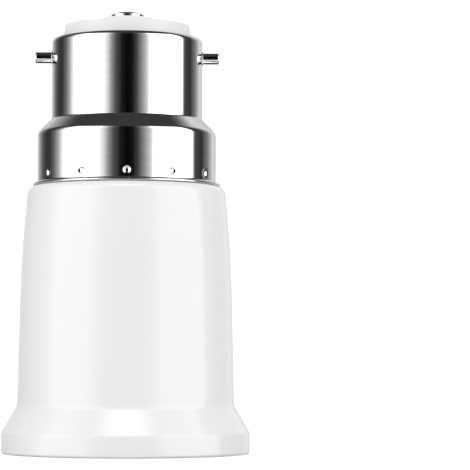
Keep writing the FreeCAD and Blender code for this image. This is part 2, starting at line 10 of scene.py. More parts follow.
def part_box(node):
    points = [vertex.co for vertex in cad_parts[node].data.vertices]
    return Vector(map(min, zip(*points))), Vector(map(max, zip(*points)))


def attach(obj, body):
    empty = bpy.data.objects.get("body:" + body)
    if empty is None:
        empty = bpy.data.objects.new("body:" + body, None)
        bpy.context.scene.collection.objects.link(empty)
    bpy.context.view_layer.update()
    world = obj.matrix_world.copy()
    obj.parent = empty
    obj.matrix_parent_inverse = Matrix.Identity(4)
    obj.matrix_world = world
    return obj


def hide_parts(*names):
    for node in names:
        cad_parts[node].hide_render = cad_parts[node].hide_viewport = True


# Looks of a lamp socket adapter: bayonet cap on top, screw socket open at the bottom.
# Sizes are in millimetres and become metres when a mesh is made. The axis is Z and the pins lie along X.

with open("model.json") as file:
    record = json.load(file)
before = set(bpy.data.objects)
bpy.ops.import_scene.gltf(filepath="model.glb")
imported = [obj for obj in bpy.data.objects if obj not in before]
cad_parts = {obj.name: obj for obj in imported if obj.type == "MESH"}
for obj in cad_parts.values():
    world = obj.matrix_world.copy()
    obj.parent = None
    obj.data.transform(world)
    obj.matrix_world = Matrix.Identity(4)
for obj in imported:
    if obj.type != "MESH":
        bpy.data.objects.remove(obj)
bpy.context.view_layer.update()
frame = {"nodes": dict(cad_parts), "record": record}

MM = 0.001
SAME = 1e-6
SUPPORT = 0.04
SHARP_ANGLE = math.radians(30)
SHELL_SHARP_ANGLE = math.radians(55)
OVERSHOOT = 1.0
FULL_TURN = 2 * math.pi
QUARTER_TURN = math.pi / 2
FRONT = -QUARTER_TURN


def box_mm(node):
    """Lowest and highest corner of a CAD node in millimetres."""
    low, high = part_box(node)
    return low / MM, high / MM


# heights and radii read from the frame
rim_radius = box_mm("housing")[1].x
tube_top = box_mm("housing")[1].z
shoulder, cap_top = (corner.z for corner in box_mm("cap_shell"))
plug_foot, island_top = (corner.z for corner in box_mm("cap_insulator"))
tab_back, base_seat = (corner.z for corner in box_mm("contact_base"))
base_radius = box_mm("contact_base")[1].x
shell_low = box_mm("screw_shell")[0].z
stud_foot, stud_top = (corner.z for corner in box_mm("cap_contact_front"))
pin_tip = box_mm("bayonet_pin_right")[1].x
pin_height = sum(corner.z for corner in box_mm("bayonet_pin_right")) / 2

# bayonet shell
CAP_RADIUS = 11.0
CAP_SHEET = 0.3
SKIRT_RADIUS = 13.03
LIP_RADIUS = 13.65
LIP_THICKNESS = 0.42
LIP_UNDERCUT_WIDTH = 0.4
LIP_UNDERCUT_HEIGHT = 0.15
SKIRT_HEIGHT = 7.76
CONE_HEIGHT = 2.03
SKIRT_FOOT_ROUND = 0.3
SKIRT_TOP_ROUND = 1.0
CONE_TOP_ROUND = 0.35
CAP_TOP_ROUND = 0.8
LIP_ROUND = 0.2
SHEET_EDGE_ROUND = 0.08
CAP_MOUTH_RADIUS = 9.45
DIMPLE_COUNT = 12
DIMPLE_HEIGHT = 1.55
DIMPLE_DEPTH = 0.13
DIMPLE_SINK = 0.12
DIMPLE_HALF_WIDTH = 1.0
DIMPLE_ROWS_REACH = 1.04
DIMPLE_ZONE_REACH = 1.1
DIMPLE_POINTS = 33
DIMPLE_NEAR = math.radians(4.7)
PLAIN_POINTS = 9
SHELL_ROUND_STEPS = 8
PIT_FLOOR = 0.22
PIT_EDGE = 0.56

# housing
WAIST_RADIUS = rim_radius - 2.29
MOUTH_RADIUS = rim_radius - 1.7
CAVITY_RADIUS = WAIST_RADIUS - 1.46
RIM_HEIGHT = 3.05
WAIST_HEIGHT = 7.0
BEND_RADIUS = WAIST_RADIUS - 0.55
BEND_HEIGHT = shoulder - 9.1
BEND_ROUND = 204.0
RIM_INNER_ROUND = 0.22
RIM_OUTER_ROUND = 0.45
RIM_TOP_ROUND = 0.5
WAIST_ROUND = 2.0
SHOULDER_ROUND = 1.3
SHOULDER_RADIUS = LIP_RADIUS + 0.72
NECK_RADIUS = SKIRT_RADIUS - CAP_SHEET - 0.03
NECK_TOP = shoulder + 6.7
NECK_TOP_ROUND = 0.5
NECK_BORE = NECK_RADIUS - 1.5
NECK_BORE_TOP = NECK_TOP - 3.3
TUBE_RADIUS = CAP_RADIUS - CAP_SHEET - 0.8
TUBE_BORE = TUBE_RADIUS - 1.0
TUBE_BORE_FOOT = NECK_TOP - 1.6
CHAMBER_TOP = shoulder - 1.5
CHAMBER_RADIUS = base_radius - 1.6
BASE_CLEARANCE = 0.1
CAVITY_TOP_ROUND = 0.2
FUNNEL_TOP = 6.2
FUNNEL_FOOT = 3.3
FUNNEL_ROUND = 0.5
HOUSING_ROUND_STEPS = 12
COLUMN_RADIUS = 2.65
COLUMN_FOOT = base_seat + 0.4
COLUMN_TOP = COLUMN_FOOT + 4.6
WEB_START = 1.8
WEB_ROOT = 0.85

# bayonet pins
PIN_RADIUS = 0.8
PIN_TIP_ROUND = 0.16
PIN_TENON_RADIUS = 0.6
PIN_HOLE_CLEARANCE = 0.02
PIN_COLLAR_RADIUS = 1.0
PIN_COLLAR_ROUND = 0.06
PIN_COLLAR_REACH = CAP_RADIUS + 0.1
PIN_SEAT_REACH = CAP_RADIUS - 0.06
PIN_HEAD_RADIUS = 1.3
PIN_HEAD_HEIGHT = 0.45
PIN_HEAD_ROUND = 0.15
PIN_HEAD_GAP = 0.05

# screw shell
SHEET = 0.35
BAND_RADIUS = 13.2
BEAD_WIRE = 0.47
BEAD_RADIUS = 13.97
BEAD_POINTS = 20
BEAD_START = 0.9 * QUARTER_TURN
BEAD_SEAM = 0.02
THREAD_MEAN = 12.8
THREAD_HALF_DEPTH = 0.55
THREAD_PITCH = 3.629
THREAD_TURNS = 2.5
RUNOUT_TURNS = 0.5
THREAD_ROWS = 64
THREAD_START = shell_low + 5.07
THREAD_END = THREAD_START + THREAD_TURNS * THREAD_PITCH
TAB_FACE = tab_back - SHEET
CUP_RADIUS = 11.5
CUP_ROUND = 1.3
OPENING_RADIUS = 10.4
TAB_EDGE = 5.0
TAB_CORNER_ROUND = 1.0
OPENING_POINTS = 160
TAB_CORNER_POINTS = 12
TAB_SEAT_RADIUS = 2.3
TAB_SEAT_DEPTH = 0.12

# screws
SCREW_OFFSET = 8.3
LEAF_SCREW_OFFSET = 8.2
SCREW_RADIUS = 1.1
SCREW_CLEARANCE = 0.06
SCREW_POINT = 0.5
SCREW_HEAD_RADIUS = 1.75
SCREW_HEAD_HEIGHT = 1.5
SCREW_FACE_SHARE = 0.8
SCREW_EDGE_SHARE = 0.45
SCREW_HEAD_ROUND = 0.6
SCREW_SPIN = math.radians(20)
SCREW_TIP = box_mm("shell_screw")[1].z
RECESS_SPAN = 1.15
RECESS_HALF_SLOT = 0.31
RECESS_DEPTH = 0.9
RECESS_LEAD = 0.5
RECESS_TAPER = 0.5

# insulating base
BASE_FLOOR_FACE = base_seat - 1.6
BASE_RING_GAP = 0.4
BASE_RING_ROUND = 0.4
BASE_SLOPE = 1.4
BOSS_TOP_RADIUS = 2.55
BOSS_FOOT_RADIUS = 2.65
BOSS_SINK = 0.8
BOSS_ROUND = 0.15

# centre contact
LEAF_THICKNESS = 0.4
LEAF_HALF_WIDTH = 2.3
LEAF_LEG_OFFSET = 5.5
LEAF_STAND = 5.6
LEAF_RISE = 0.5
LEAF_BEND = 0.7
LEAF_TIP = 2.35
LEAF_FOOT = 10.2
LEAF_EDGE = 0.06
LEAF_END_HALF_WIDTH = 0.02
LEAF_END_POINTS = 14
BUTTON_RADIUS = 2.1
BUTTON_RIM = 0.15
BUTTON_HEIGHT = 1.0
BUTTON_SHANK_RADIUS = 0.8
BUTTON_HEAD_RADIUS = 1.3
BUTTON_HEAD_HEIGHT = 0.35

# angles round the axis
EVEN_ANGLES = np.linspace(0, FULL_TURN, 192, endpoint=False)
THREAD_ANGLES = np.linspace(0, FULL_TURN, 288, endpoint=False)


def dimpled_angles():
    """Angles round the axis, closer together at each dimple."""
    pitch = FULL_TURN / DIMPLE_COUNT
    close = np.linspace(-DIMPLE_NEAR, DIMPLE_NEAR, DIMPLE_POINTS)[:-1]
    plain = np.linspace(DIMPLE_NEAR, pitch - DIMPLE_NEAR, PLAIN_POINTS)[:-1]
    one = np.concatenate([close, plain])
    return np.concatenate([one + pitch * index + FRONT for index in range(DIMPLE_COUNT)])


# outlines and skins

def rounded(corners, steps=8):
    """Closed outline through corners (radius, height) or (radius, height, rounding), as complex numbers."""
    points = []
    for index, corner in enumerate(corners):
        place = complex(corner[0], corner[1])
        rounding = corner[2] if len(corner) > 2 else 0
        if not rounding:
            points.append(place)
            continue
        last = complex(*corners[index - 1][:2]) - place
        after = complex(*corners[(index + 1) % len(corners)][:2]) - place
        last /= abs(last)
        after /= abs(after)
        half = abs(cmath.phase(after / last)) / 2
        reach = rounding / math.tan(half)
        centre = place + (last + after) / abs(last + after) * rounding / math.sin(half)
        arm = place + last * reach - centre
        turn = cmath.phase((place + after * reach - centre) / arm)
        points.append(place + last * (reach + SUPPORT))
        points += [centre + arm * cmath.exp(1j * turn * step / steps) for step in range(steps + 1)]
        points.append(place + after * (reach + SUPPORT))
    return points


def cap_arc(radius, rim, apex, steps=12):
    """Points of a spherical cap from beyond its rim at (radius, rim) to its apex on the axis."""
    rise = apex - rim
    sphere = (radius ** 2 + rise ** 2) / (2 * rise)
    half = math.asin(radius / abs(sphere))
    turns = [half * (1 - step / steps) for step in range(1, steps + 1)]
    return [complex(abs(sphere) * math.sin(turn), apex - sphere * (1 - math.cos(turn))) for turn in turns]


def ring(radius, height, angles):
    """Points round the axis; a radius of nought gives one point."""
    if np.isscalar(radius) and radius < SAME:
        return np.array([[0.0, 0.0, height]])
    return np.stack([radius * np.cos(angles), radius * np.sin(angles), height + 0 * angles], axis=1)


def skin(rings, closed=False):
    """Vertices and faces of a skin through rings of points; a ring of one point is a pole."""
    starts = np.cumsum([0] + [len(points) for points in rings])
    order = list(range(len(rings))) + ([0] if closed else [])
    faces = []
    for lower, upper in zip(order, order[1:]):
        low_count, high_count = len(rings[lower]), len(rings[upper])
        count = max(low_count, high_count)
        if count == 1:
            continue
        step = np.arange(count)
        after = (step + 1) % count
        low, high = starts[lower], starts[upper]
        if low_count == 1:
            quads = [np.full(count, low), high + after, high + step]
        elif high_count == 1:
            quads = [low + step, low + after, np.full(count, high)]
        else:
            quads = [low + step, low + after, high + after, high + step]
        faces += np.stack(quads, axis=1).tolist()
    return np.concatenate(rings), faces


def turned(outline, angles=EVEN_ANGLES, dent=None):
    """Skin turned about Z from a closed outline; dent(angles, point) is how far a point goes inwards."""
    rings = []
    for point in outline:
        radius = point.real
        if dent is not None:
            radius = radius - dent(angles, point)
        rings.append(ring(radius, point.imag, angles))
    return skin(rings, closed=True)


def placed(part, matrix):
    """A skin moved by a matrix in millimetres."""
    vertices, faces = part
    moved = vertices @ np.array(matrix.to_3x3()).T + np.array(matrix.translation)
    return moved, faces


def joined(parts):
    """Several skins as one."""
    vertices = []
    faces = []
    count = 0
    for part_vertices, part_faces in parts:
        faces += [[index + count for index in face] for face in part_faces]
        vertices.append(part_vertices)
        count += len(part_vertices)
    return np.concatenate(vertices), faces


def make_object(name, part, sharp_angle=SHARP_ANGLE):
    """Blender object in metres from a skin in millimetres, smooth with crisp corners."""
    vertices, faces = part
    mesh = bpy.data.meshes.new(name)
    mesh.from_pydata((vertices * MM).tolist(), [], faces)
    finish_mesh(mesh, sharp_angle)
    thing = bpy.data.objects.new(name, mesh)
    bpy.context.scene.collection.objects.link(thing)
    return thing


def finish_mesh(mesh, sharp_angle):
    """Smooth shading that stops at corners."""
    mesh.validate()
    mesh.shade_smooth()
    mesh.set_sharp_from_angle(angle=sharp_angle)


def carve(thing, cutters, sharp_angle=SHARP_ANGLE):
    """Cuts closed skins out of an object."""
    for cutter in cutters:
        tool = make_object(thing.name + "_cutter", cutter)
        cut = thing.modifiers.new("cut", "BOOLEAN")
        cut.operation = "DIFFERENCE"
        cut.solver = "EXACT"
        cut.object = tool
        graph = bpy.context.evaluated_depsgraph_get()
        mesh = bpy.data.meshes.new_from_object(thing.evaluated_get(graph))
        thing.modifiers.clear()
        bpy.data.objects.remove(tool)
        finish_mesh(mesh, sharp_angle)
        thing.data = mesh


def prism(outline, low, high, narrowing=1.0):
    """Closed skin of a plan outline between two heights, its top scaled by narrowing."""
    plan = np.array(outline)
    count = len(plan)
    bottom = np.column_stack([plan, np.full(count, low)])
    top = np.column_stack([plan * narrowing, np.full(count, high)])
    following = [(index + 1) % count for index in range(count)]
    faces = [[index, after, count + after, count + index] for index, after in enumerate(following)]
    faces.append(list(range(count - 1, -1, -1)))
    faces.append(list(range(count, 2 * count)))
    return np.concatenate([bottom, top]), faces


def dress(thing, nodes, material):
    """Gives a piece its material and its body, and hides the CAD nodes that it stands for."""
    thing.data.materials.clear()
    thing.data.materials.append(material)
    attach(thing, "root")
    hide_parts(*nodes)


# materials

def new_material(name, color, metallic, roughness):
    """Material of one colour, one share of metal and one roughness."""
    material = bpy.data.materials.new(name)
    material.use_nodes = True
    shader = material.node_tree.nodes["Principled BSDF"]
    shader.inputs["Base Color"].default_value = (*color, 1)
    shader.inputs["Metallic"].default_value = metallic
    shader.inputs["Roughness"].default_value = roughness
    return material


def noise(material, per_mm, detail=3.0):
    """Noise of the given grain, in cells per millimetre along X, Y and Z."""
    nodes = material.node_tree.nodes
    links = material.node_tree.links
    coordinates = nodes.new("ShaderNodeTexCoord")
    mapping = nodes.new("ShaderNodeMapping")
    mapping.inputs["Scale"].default_value = [grain / MM for grain in per_mm]
    texture = nodes.new("ShaderNodeTexNoise")
    texture.inputs["Scale"].default_value = 1.0
    texture.inputs["Detail"].default_value = detail
    links.new(coordinates.outputs["Object"], mapping.inputs["Vector"])
    links.new(mapping.outputs["Vector"], texture.inputs["Vector"])
    return texture.outputs["Fac"]


NOISE_LOW, NOISE_HIGH = 0.3, 0.7


def spread(material, value, low, high):
    """Noise stretched to run from low to high."""
    node = material.node_tree.nodes.new("ShaderNodeMapRange")
    node.inputs["From Min"].default_value = NOISE_LOW
    node.inputs["From Max"].default_value = NOISE_HIGH
    node.inputs["To Min"].default_value = low
    node.inputs["To Max"].default_value = high
    material.node_tree.links.new(value, node.inputs["Value"])
    return node.outputs["Result"]


def vary_roughness(material, value, low, high):
    """Roughness that wanders between low and high."""
    shader = material.node_tree.nodes["Principled BSDF"]
    material.node_tree.links.new(spread(material, value, low, high), shader.inputs["Roughness"])


def vary_color(material, value, first, second):
    """Colour that wanders between two tones."""
    nodes = material.node_tree.nodes
    links = material.node_tree.links
    mix = nodes.new("ShaderNodeMix")
    mix.data_type = "RGBA"
    mix.inputs["A"].default_value = (*first, 1)
    mix.inputs["B"].default_value = (*second, 1)
    links.new(spread(material, value, 0.0, 1.0), mix.inputs["Factor"])
    links.new(mix.outputs["Result"], nodes["Principled BSDF"].inputs["Base Color"])


def add_bump(material, value, depth_mm):
    """Fine relief of the given depth."""
    nodes = material.node_tree.nodes
    links = material.node_tree.links
    bump = nodes.new("ShaderNodeBump")
    bump.inputs["Strength"].default_value = 1.0
    bump.inputs["Distance"].default_value = depth_mm * MM
    links.new(value, bump.inputs["Height"])
    links.new(bump.outputs["Normal"], nodes["Principled BSDF"].inputs["Normal"])


def shade(color, share):
    """The colour darkened to a share of itself."""
    return [channel * share for channel in color]


def glossy_plastic():
    """White moulded plastic with a polished skin and the faint orange peel of the mould."""
    material = new_material("white_plastic_gloss", (0.86, 0.86, 0.858), 0, 0.15)
    vary_color(material, noise(material, (0.05, 0.05, 0.05)), (0.855, 0.855, 0.85), (0.872, 0.872, 0.87))
    vary_roughness(material, noise(material, (0.6, 0.6, 0.6)), 0.12, 0.19)
    add_bump(material, noise(material, (1.1, 1.1, 1.1), 1.0), 0.004)
    return material


def satin_plastic(name, color, roughness, depth_mm):
    """Matt moulded plastic with a fine spark-eroded grain."""
    material = new_material(name, color, 0, roughness)
    vary_color(material, noise(material, (0.4, 0.4, 0.4)), shade(color, 0.94), color)
    vary_roughness(material, noise(material, (2.5, 2.5, 2.5)), roughness - 0.06, roughness + 0.08)
    add_bump(material, noise(material, (5, 5, 5), 2.0), depth_mm)
    return material


def drawn_metal(name, color, roughness, streak, depth_mm):
    """Bright sheet metal with faint rings left by drawing and rolling."""
    material = new_material(name, color, 1, roughness)
    vary_color(material, noise(material, (0.3, 0.3, 1.2)), shade(color, 0.93), color)
    vary_roughness(material, noise(material, (0.15, 0.15, streak)), roughness * 0.7, roughness * 1.5)
    add_bump(material, noise(material, (0.08, 0.08, streak), 2.0), depth_mm)
    return material


def rough_metal(name, color, roughness, grain, depth_mm):
    """Plain metal with a fine even grain."""
    material = new_material(name, color, 1, roughness)
    vary_color(material, noise(material, (0.8, 0.8, 0.8)), shade(color, 0.85), color)
    vary_roughness(material, noise(material, (grain, grain, grain)), roughness * 0.8, roughness * 1.3)
    add_bump(material, noise(material, (grain, grain, grain)), depth_mm)
    return material


MATERIALS = {
    "white_plastic": glossy_plastic(),
    "plated_shell": drawn_metal("nickel_shell", (0.86, 0.86, 0.87), 0.05, 6.0, 0.0006),
    "plated_pin": drawn_metal("nickel_pin", (0.84, 0.84, 0.85), 0.07, 2.0, 0.0006),
    "insulator_plastic": satin_plastic("white_plastic_satin", (0.87, 0.87, 0.865), 0.42, 0.003),
    "contact_metal": rough_metal("plated_contact", (0.84, 0.84, 0.84), 0.16, 2.0, 0.001),
    "gold_aluminium": drawn_metal("gold_anodised", (0.95, 0.62, 0.08), 0.2, 5.0, 0.002),
    "screw_steel": rough_metal("nickel_screw", (0.78, 0.78, 0.79), 0.16, 3.0, 0.002),
    "grey_plastic": satin_plastic("dark_grey_plastic", (0.17, 0.17, 0.178), 0.4, 0.006),
    "leaf_metal": rough_metal("spring_strip", (0.70, 0.70, 0.71), 0.3, 4.0, 0.002),
    "copper": rough_metal("copper_alloy", (0.80, 0.42, 0.16), 0.22, 2.5, 0.003),
    "terminal_brass": rough_metal("plain_brass", (0.75, 0.57, 0.27), 0.3, 2.5, 0.003),
    "lead_insulation": satin_plastic("lead_sleeving", (0.66, 0.66, 0.66), 0.6, 0.01),
}


# bayonet shell and housing

def dimple_dent(angles, height):
    """How far the staking punch has pushed the wall in: a flat-bottomed pit in a shallow hollow."""
    pitch = FULL_TURN / DIMPLE_COUNT
    nearest = (angles - FRONT + pitch / 2) % pitch - pitch / 2
    across = nearest * SKIRT_RADIUS / DIMPLE_HALF_WIDTH
    up = (height - shoulder - DIMPLE_HEIGHT) / DIMPLE_HALF_WIDTH
    reach = np.minimum(np.sqrt(across ** 2 + up ** 2), 1)
    wall = np.clip((reach - PIT_FLOOR) / (PIT_EDGE - PIT_FLOOR), 0, 1)
    pit = DIMPLE_DEPTH * (1 - wall ** 2 * (3 - 2 * wall))
    hollow = DIMPLE_SINK * (1 - reach ** 2) ** 2
    return pit + hollow


def dimple_rows(radius, upwards):
    """Points of an upright wall, close together where the dimples are."""
    middle = shoulder + DIMPLE_HEIGHT
    turns = np.linspace(-QUARTER_TURN, QUARTER_TURN, DIMPLE_POINTS)
    rows = [middle + DIMPLE_ROWS_REACH * math.sin(turn) for turn in turns] + [middle + DIMPLE_ZONE_REACH]
    return [complex(radius, height) for height in (rows if upwards else reversed(rows))]


def with_rows(outline, radius, upwards):
    """The outline with dimple rows put into its upright run at this radius near the shoulder."""
    for index, point in enumerate(outline):
        following = outline[(index + 1) % len(outline)]
        low, high = sorted([point.imag, following.imag])
        upright = abs(point.real - radius) < SAME and abs(following.real - radius) < SAME
        if upright and low < shoulder + DIMPLE_HEIGHT < high:
            rows = [row for row in dimple_rows(radius, upwards) if low + SUPPORT < row.imag < high]
            return outline[:index + 1] + rows + outline[index + 1:]
    raise ValueError("no upright run for the dimples")


def wall_dent(radii):
    """Dent that acts only on the upright walls with these radii."""
    def dent(angles, point):
        if min(abs(point.real - radius) for radius in radii) > SAME:
            return 0 * angles
        return dimple_dent(angles, point.imag)
    return dent


def make_cap_shell():
    """Drawn shell with its lip, dimpled skirt, cone, pin holes and top edge turned in over the plug."""
    skirt_inner = SKIRT_RADIUS - CAP_SHEET
    cap_inner = CAP_RADIUS - CAP_SHEET
    cone_start = shoulder + SKIRT_HEIGHT
    cone_end = cone_start + CONE_HEIGHT
    drop = CAP_SHEET * math.tan(math.atan2(SKIRT_RADIUS - CAP_RADIUS, CONE_HEIGHT) / 2)
    lip_top = shoulder + LIP_THICKNESS
    outline = rounded([
        (skirt_inner, shoulder),
        (LIP_RADIUS - LIP_UNDERCUT_WIDTH, shoulder),
        (LIP_RADIUS, shoulder + LIP_UNDERCUT_HEIGHT, SHEET_EDGE_ROUND),
        (LIP_RADIUS, lip_top, LIP_ROUND),
        (SKIRT_RADIUS, lip_top, SKIRT_FOOT_ROUND),
        (SKIRT_RADIUS, cone_start, SKIRT_TOP_ROUND),
        (CAP_RADIUS, cone_end, CONE_TOP_ROUND),
        (CAP_RADIUS, cap_top, CAP_TOP_ROUND),
        (CAP_MOUTH_RADIUS, cap_top, SHEET_EDGE_ROUND),
        (CAP_MOUTH_RADIUS, cap_top - CAP_SHEET),
        (cap_inner, cap_top - CAP_SHEET, CAP_TOP_ROUND - CAP_SHEET),
        (cap_inner, cone_end - drop, CONE_TOP_ROUND + CAP_SHEET),
        (skirt_inner, cone_start - drop, SKIRT_TOP_ROUND - CAP_SHEET),
    ], SHELL_ROUND_STEPS)
    outline = with_rows(outline, SKIRT_RADIUS, True)
    outline = outline + dimple_rows(skirt_inner, False)
    dent = wall_dent((SKIRT_RADIUS, skirt_inner))
    thing = make_object("bayonet_shell", turned(outline, dimpled_angles(), dent), SHELL_SHARP_ANGLE)
    hole = rod(PIN_TENON_RADIUS + PIN_HOLE_CLEARANCE, CAP_MOUTH_RADIUS, pin_tip)
    holes = [placed(hole, pin_place(side)) for side in (-1, 1)]
    carve(thing, holes, SHELL_SHARP_ANGLE)
    return thing


def make_column(place):
    """Column that a screw cuts into, with its web to the wall, as one skin."""
    tube = turned([
        complex(SCREW_RADIUS, COLUMN_FOOT),
        complex(COLUMN_RADIUS, COLUMN_FOOT),
        complex(COLUMN_RADIUS, COLUMN_TOP),
        complex(SCREW_RADIUS, COLUMN_TOP),
    ], EVEN_ANGLES[::4])
    reach = CHAMBER_RADIUS + WEB_ROOT - place
    half = COLUMN_RADIUS
    web = [(WEB_START, -half), (reach, -half), (reach, half), (WEB_START, half)]
    return joined([tube, prism(web, COLUMN_FOOT, COLUMN_TOP)])


def make_housing():
    """Moulded body: rim, barrel, neck and tube inside the cap, socket cavity and two screw columns."""
    corners = [
        (MOUTH_RADIUS, 0, RIM_INNER_ROUND),
        (rim_radius, 0, RIM_OUTER_ROUND),
        (rim_radius, RIM_HEIGHT, RIM_TOP_ROUND),
        (WAIST_RADIUS, WAIST_HEIGHT, WAIST_ROUND),
        (BEND_RADIUS, BEND_HEIGHT, BEND_ROUND),
        (SHOULDER_RADIUS, shoulder, SHOULDER_ROUND),
        (NECK_RADIUS, shoulder),
        (NECK_RADIUS, NECK_TOP, NECK_TOP_ROUND),
        (TUBE_RADIUS, NECK_TOP),
        (TUBE_RADIUS, tube_top),
        (TUBE_BORE, tube_top),
        (TUBE_BORE, TUBE_BORE_FOOT),
        (NECK_BORE, NECK_BORE_TOP),
        (NECK_BORE, CHAMBER_TOP),
        (CHAMBER_RADIUS, CHAMBER_TOP),
        (CHAMBER_RADIUS, base_seat),
        (base_radius + BASE_CLEARANCE, base_seat),
        (base_radius + BASE_CLEARANCE, tab_back),
        (CAVITY_RADIUS, tab_back, CAVITY_TOP_ROUND),
        (CAVITY_RADIUS, FUNNEL_TOP, FUNNEL_ROUND),
        (MOUTH_RADIUS, FUNNEL_FOOT, FUNNEL_ROUND),
    ]
    outline = with_rows(rounded(corners, HOUSING_ROUND_STEPS), NECK_RADIUS, True)
    body = turned(outline, dimpled_angles(), wall_dent((NECK_RADIUS,)))
    shell_column = placed(make_column(SCREW_OFFSET), Matrix.Translation((SCREW_OFFSET, 0, 0)))
    leaf_place = Matrix.Rotation(QUARTER_TURN, 4, "Z") @ Matrix.Translation((LEAF_SCREW_OFFSET, 0, 0))
    leaf_column = placed(make_column(LEAF_SCREW_OFFSET), leaf_place)
    return make_object("moulded_housing", joined([body, shell_column, leaf_column]))


def pin_place(side):
    """Turns a piece made along Z to point to side +1 or -1 along X, at the height of the pins."""
    return Matrix.Translation((0, 0, pin_height)) @ Matrix.Rotation(side * QUARTER_TURN, 4, "Y")


def make_pin(name, side):
    """Bayonet pin pointing to side +1 or -1 along X."""
    head_face = math.sqrt((CAP_RADIUS - CAP_SHEET) ** 2 - PIN_HEAD_RADIUS ** 2) - PIN_HEAD_GAP
    outline = rounded([
        (0, head_face - PIN_HEAD_HEIGHT),
        (PIN_HEAD_RADIUS, head_face - PIN_HEAD_HEIGHT, PIN_HEAD_ROUND),
        (PIN_HEAD_RADIUS, head_face),
        (PIN_TENON_RADIUS, head_face),
        (PIN_TENON_RADIUS, PIN_SEAT_REACH),
        (PIN_COLLAR_RADIUS, PIN_SEAT_REACH),
        (PIN_COLLAR_RADIUS, PIN_COLLAR_REACH, PIN_COLLAR_ROUND),
        (PIN_RADIUS, PIN_COLLAR_REACH),
        (PIN_RADIUS, pin_tip, PIN_TIP_ROUND),
        (0, pin_tip),
    ])
    return make_object(name, placed(turned(outline, EVEN_ANGLES[::2]), pin_place(side)))


# insulating plug and contacts

PLUG_CLEARANCE = 0.05
PLUG_FLANGE_CLEARANCE = 0.1
PLUG_DRAFT = 0.3
PLUG_EDGE_ROUND = 0.2
CROWN_START = cap_top + 1.9
CROWN_RISE = 0.18
CROWN_RUN = 4.0
CROWN_FLAT_RADIUS = 5.1
CROWN_BLEND = 0.8
ISLAND_HALF_WIDTH = 3.7
ISLAND_HALF_LENGTH = 7.6
ISLAND_SHOULDER = 1.4
ISLAND_TOP_BLEND = 0.12
ISLAND_FOOT_BLEND = 0.06
ISLAND_OVERRUN = 0.2
RING_MARGIN = 0.05
FACE_RINGS = 9
SLOPE_RINGS = 19
TOP_SHARES = (0.85, 0.6, 0.35, 0.15)
STUD_OFFSET = 4.9
STUD_RADIUS = 2.37
STUD_RIM = 0.35
STUD_SHANK_RADIUS = 1.1
STUD_HEAD_RADIUS = 1.8
STUD_HEAD_HEIGHT = 0.4


def stadium_reach(angles, half_width, half_length):
    """Distance from the middle to the edge of a shape with straight sides along Y and round ends."""
    shift = half_length - half_width
    sine, cosine = np.abs(np.sin(angles)), np.maximum(np.abs(np.cos(angles)), SAME)
    to_side = half_width / cosine
    to_end = shift * sine + np.sqrt(np.maximum(half_width ** 2 - (shift * cosine) ** 2, 0))
    return np.where(to_side * sine <= shift, to_side, to_end)


def soft_top(first, second, blend):
    """Greater of two heights, with the crease rounded."""
    return (first + second + np.sqrt((first - second) ** 2 + blend ** 2) - blend) / 2


def crown_height(radius):
    """Height of the plug's gently crowned face."""
    slope = CROWN_RISE / CROWN_RUN
    return CROWN_START + CROWN_RISE - slope * soft_top(radius - CROWN_FLAT_RADIUS, 0, CROWN_BLEND)


def island_rings(angles, edge_radius):
    """Rings over the plug's face, from its edge across the island's slope to the middle."""
    foot_width = ISLAND_HALF_WIDTH + ISLAND_SHOULDER
    foot_length = ISLAND_HALF_LENGTH + ISLAND_SHOULDER / 3
    base = stadium_reach(angles, foot_width, foot_length)
    base = np.minimum(base, edge_radius - RING_MARGIN)
    top = stadium_reach(angles, ISLAND_HALF_WIDTH, ISLAND_HALF_LENGTH)
    fall = island_top - CROWN_START - CROWN_RISE / 2
    rings = []
    for share in np.linspace(0, 1, FACE_RINGS)[:-1]:
        reach = edge_radius + (base - edge_radius) * share
        rings.append(ring(reach, crown_height(reach), angles))
    for share in np.linspace(1, -ISLAND_OVERRUN, SLOPE_RINGS):
        reach = top + (base - top) * share
        slope = island_top - fall * share
        flat = -soft_top(-slope, -island_top, ISLAND_TOP_BLEND)
        rings.append(ring(reach, soft_top(crown_height(reach), flat, ISLAND_FOOT_BLEND), angles))
    inner = top - (base - top) * ISLAND_OVERRUN
    for share in TOP_SHARES:
        rings.append(ring(inner * share, island_top, angles))
    rings.append(ring(0.0, island_top, angles))
    return rings


def make_plug():
    """Plug with a flange under the shell's edge, a crowned face and the island that carries the studs."""
    neck = CAP_MOUTH_RADIUS - PLUG_CLEARANCE
    flange = CAP_RADIUS - CAP_SHEET - PLUG_FLANGE_CLEARANCE
    chamfer = CAP_TOP_ROUND - CAP_SHEET
    under = cap_top - CAP_SHEET
    side = rounded([
        (0, plug_foot),
        (flange, plug_foot),
        (flange, under - chamfer),
        (flange - chamfer, under),
        (neck, under),
        (neck, cap_top),
        (neck - PLUG_DRAFT, CROWN_START, PLUG_EDGE_ROUND),
        (CROWN_FLAT_RADIUS, CROWN_START + CROWN_RISE),
    ])[:-1]
    angles = THREAD_ANGLES
    rings = [ring(point.real, point.imag, angles) for point in side]
    rings += island_rings(angles, side[-1].real - RING_MARGIN)
    return make_object("insulating_plug", skin(rings))


def make_stud(name, side):
    """Domed contact stud at side -1 or +1 along Y."""
    outline = [complex(radius, height) for radius, height in (
        (0, stud_foot),
        (STUD_SHANK_RADIUS, stud_foot),
        (STUD_SHANK_RADIUS, plug_foot - STUD_HEAD_HEIGHT),
        (STUD_HEAD_RADIUS, plug_foot - STUD_HEAD_HEIGHT),
        (STUD_HEAD_RADIUS, plug_foot),
        (STUD_SHANK_RADIUS, plug_foot),
        (STUD_SHANK_RADIUS, island_top),
        (STUD_RADIUS, island_top),
        (STUD_RADIUS, island_top + STUD_RIM),
    )]
    outline += cap_arc(STUD_RADIUS, island_top + STUD_RIM, stud_top)
    part = placed(turned(outline, EVEN_ANGLES[::2]), Matrix.Translation((0, side * STUD_OFFSET, 0)))
    return make_object(name, part)


